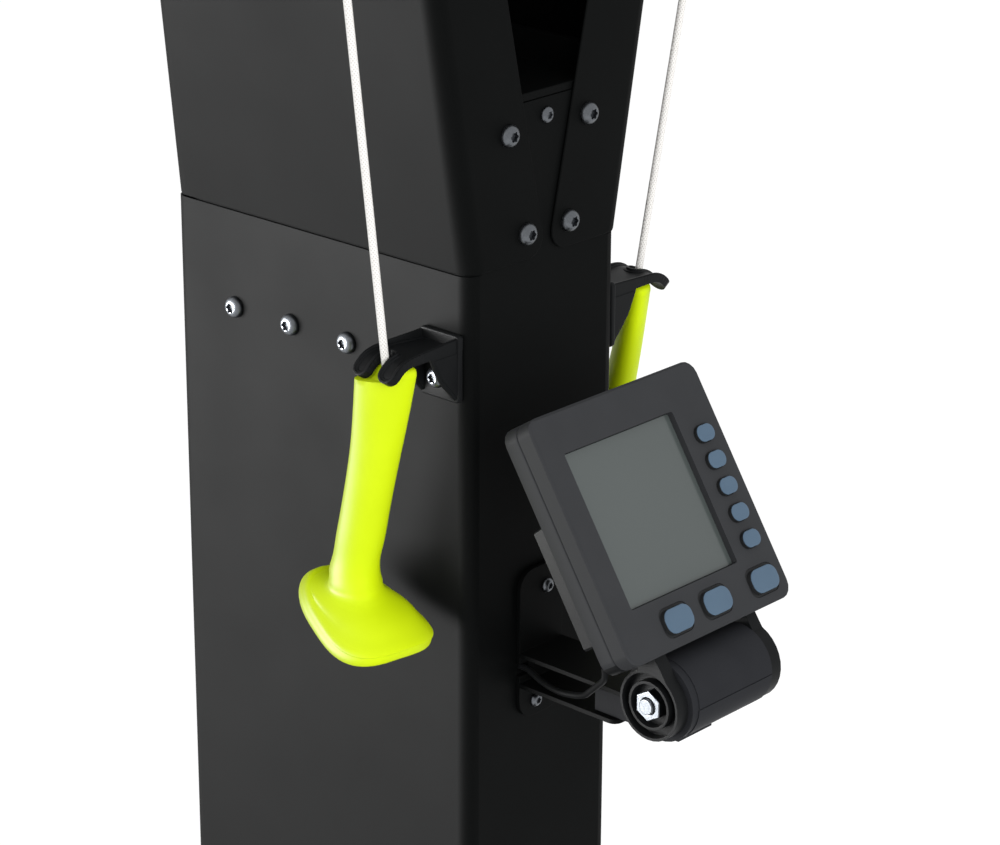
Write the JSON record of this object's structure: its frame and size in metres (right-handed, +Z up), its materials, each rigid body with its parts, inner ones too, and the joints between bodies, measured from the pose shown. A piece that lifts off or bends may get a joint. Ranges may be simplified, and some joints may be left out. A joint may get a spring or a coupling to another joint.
{
  "type": "standing ski trainer",
  "caption": "Standing ski trainer: a folded-steel column on a floor stand, leaning arms with an air fan, corded pull handles in moulded holders and a tilting monitor.",
  "frame": {"origin": "on the floor, below the middle of the stand", "axes": "+X to the right hand of the machine as it faces the user, -Y to the front where the user stands, +Z up"},
  "size_m": [0.6, 1.27, 2.16],
  "materials": {
    "black_steel": "fine-texture powder coat",
    "deck_board": "moulded composite board with cut treads",
    "rubber": "matt",
    "black_plastic": "moulded, satin to gloss",
    "monitor_plastic": "fine spark texture",
    "button_rubber": "satin keypad rubber",
    "lcd_glass": "clear window over a grey-green display",
    "lime_grip": "moulded, satin",
    "white_cord": "braided",
    "bright_zinc": "bright zinc plate",
    "grey_aluminium": "as cast",
    "bungee_cover": "woven bungee sleeve"
  },
  "bodies": {
    "machine": {"deck": "deck_board", "cross_foot_front": "black_steel", "cross_foot_rear": "black_steel", "foot_pad_front_left": "rubber", "foot_pad_front_right": "rubber", "foot_pad_rear_left": "rubber", "foot_pad_rear_right": "rubber", "column": "black_steel", "rear_gusset": "black_steel", "arm_left": "black_steel", "arm_right": "black_steel", "flange_screw_1": "bright_zinc", "flange_screw_2": "bright_zinc", "flange_screw_3": "bright_zinc", "flange_screw_4": "bright_zinc", "back_panel": "black_steel", "inner_shelf": "black_steel", "fan_bridge": "black_steel", "bearing_front": "bright_zinc", "bearing_rear": "bright_zinc", "fan_guard": "black_steel", "fan_housing": "black_steel", "head_frame": "black_steel", "head_cover": "black_plastic", "pulley_axle_left": "bright_zinc", "pulley_axle_right": "bright_zinc", "inner_cord_left": "white_cord", "inner_cord_right": "white_cord", "cord_left": "white_cord", "cord_right": "white_cord", "holder_left": "black_plastic", "holder_right": "black_plastic", "monitor_bracket": "black_steel", "pivot_barrel": "black_plastic", "monitor_cable": "rubber", "return_bungee": "bungee_cover", "bungee_pulley": "black_plastic", "bungee_axle": "bright_zinc"},
    "handle_left": {"handle_left": "lime_grip"},
    "handle_right": {"handle_right": "lime_grip"},
    "pulley_left": {"pulley_left": "black_plastic"},
    "pulley_right": {"pulley_right": "black_plastic"},
    "drum_left": {"drum_left": "black_plastic"},
    "drum_right": {"drum_right": "black_plastic"},
    "flywheel": {"fan_wheel": "grey_aluminium", "fan_axle": "bright_zinc"},
    "damper": {"damper_ring": "black_plastic"},
    "monitor": {"monitor_front": "monitor_plastic", "monitor_rear": "monitor_plastic", "lcd_window": "lcd_glass", "pivot_bolt": "bright_zinc", "pivot_nut": "bright_zinc"},
    "side_button_1": {"side_button_1": "button_rubber"},
    "side_button_2": {"side_button_2": "button_rubber"},
    "side_button_3": {"side_button_3": "button_rubber"},
    "side_button_4": {"side_button_4": "button_rubber"},
    "side_button_5": {"side_button_5": "button_rubber"},
    "bottom_button_1": {"bottom_button_1": "button_rubber"},
    "bottom_button_2": {"bottom_button_2": "button_rubber"},
    "bottom_button_3": {"bottom_button_3": "button_rubber"}
  },
  "joints": [
    {"name": "handle_left_pull", "type": "slide", "parent": "machine", "child": "handle_left", "axis": [0, 0, -1], "range_m": [0, 0.75], "stiffness_N_per_m": 20, "springref_m": -0.5, "deforming": ["cord_left"]},
    {"name": "handle_right_pull", "type": "slide", "parent": "machine", "child": "handle_right", "axis": [0, 0, -1], "range_m": [0, 0.75], "stiffness_N_per_m": 20, "springref_m": -0.5, "deforming": ["cord_right"]},
    {"name": "pulley_left_turn", "type": "hinge", "parent": "machine", "child": "pulley_left", "pos_m": [-0.20721, 0.22437, 2.08888], "axis": [0, 1, 0], "range_deg": [-1539.7, 5]},
    {"name": "drum_left_turn", "type": "hinge", "parent": "machine", "child": "drum_left", "pos_m": [0, 0.263, 1.8801], "axis": [0, 1, 0], "range_deg": [-1175.9, 5]},
    {"name": "pulley_right_turn", "type": "hinge", "parent": "machine", "child": "pulley_right", "pos_m": [0.20721, 0.22437, 2.08888], "axis": [0, 1, 0], "range_deg": [-5, 1539.7]},
    {"name": "drum_right_turn", "type": "hinge", "parent": "machine", "child": "drum_right", "pos_m": [0, 0.263, 1.8801], "axis": [0, 1, 0], "range_deg": [-5, 1175.9]},
    {"name": "flywheel_spin", "type": "hinge", "parent": "machine", "child": "flywheel", "pos_m": [0, 0.333, 1.8801], "axis": [0, 1, 0], "continuous": true},
    {"name": "damper_turn", "type": "hinge", "parent": "machine", "child": "damper", "pos_m": [0, 0.293, 1.8801], "axis": [0, 1, 0], "range_deg": [-30, 30]},
    {"name": "monitor_tilt", "type": "hinge", "parent": "machine", "child": "monitor", "pos_m": [0, 0.1065, 1.1533], "axis": [1, 0, 0], "range_deg": [-8, 35]},
    {"name": "side_button_1_press", "type": "slide", "parent": "monitor", "child": "side_button_1", "axis": [0, 0.8396, -0.5432], "range_m": [0, 0.0012], "stiffness_N_per_m": 500, "springref_m": -0.001},
    {"name": "side_button_2_press", "type": "slide", "parent": "monitor", "child": "side_button_2", "axis": [0, 0.8396, -0.5432], "range_m": [0, 0.0012], "stiffness_N_per_m": 500, "springref_m": -0.001},
    {"name": "side_button_3_press", "type": "slide", "parent": "monitor", "child": "side_button_3", "axis": [0, 0.8396, -0.5432], "range_m": [0, 0.0012], "stiffness_N_per_m": 500, "springref_m": -0.001},
    {"name": "side_button_4_press", "type": "slide", "parent": "monitor", "child": "side_button_4", "axis": [0, 0.8396, -0.5432], "range_m": [0, 0.0012], "stiffness_N_per_m": 500, "springref_m": -0.001},
    {"name": "side_button_5_press", "type": "slide", "parent": "monitor", "child": "side_button_5", "axis": [0, 0.8396, -0.5432], "range_m": [0, 0.0012], "stiffness_N_per_m": 500, "springref_m": -0.001},
    {"name": "bottom_button_1_press", "type": "slide", "parent": "monitor", "child": "bottom_button_1", "axis": [0, 0.8396, -0.5432], "range_m": [0, 0.0012], "stiffness_N_per_m": 500, "springref_m": -0.001},
    {"name": "bottom_button_2_press", "type": "slide", "parent": "monitor", "child": "bottom_button_2", "axis": [0, 0.8396, -0.5432], "range_m": [0, 0.0012], "stiffness_N_per_m": 500, "springref_m": -0.001},
    {"name": "bottom_button_3_press", "type": "slide", "parent": "monitor", "child": "bottom_button_3", "axis": [0, 0.8396, -0.5432], "range_m": [0, 0.0012], "stiffness_N_per_m": 500, "springref_m": -0.001}
  ],
  "couplings": [
    {"joint": "pulley_left_turn", "follows": "handle_left_pull", "rad_per_m": -35.714},
    {"joint": "drum_left_turn", "follows": "handle_left_pull", "rad_per_m": -27.248},
    {"joint": "pulley_right_turn", "follows": "handle_right_pull", "rad_per_m": 35.714},
    {"joint": "drum_right_turn", "follows": "handle_right_pull", "rad_per_m": 27.248}
  ]
}
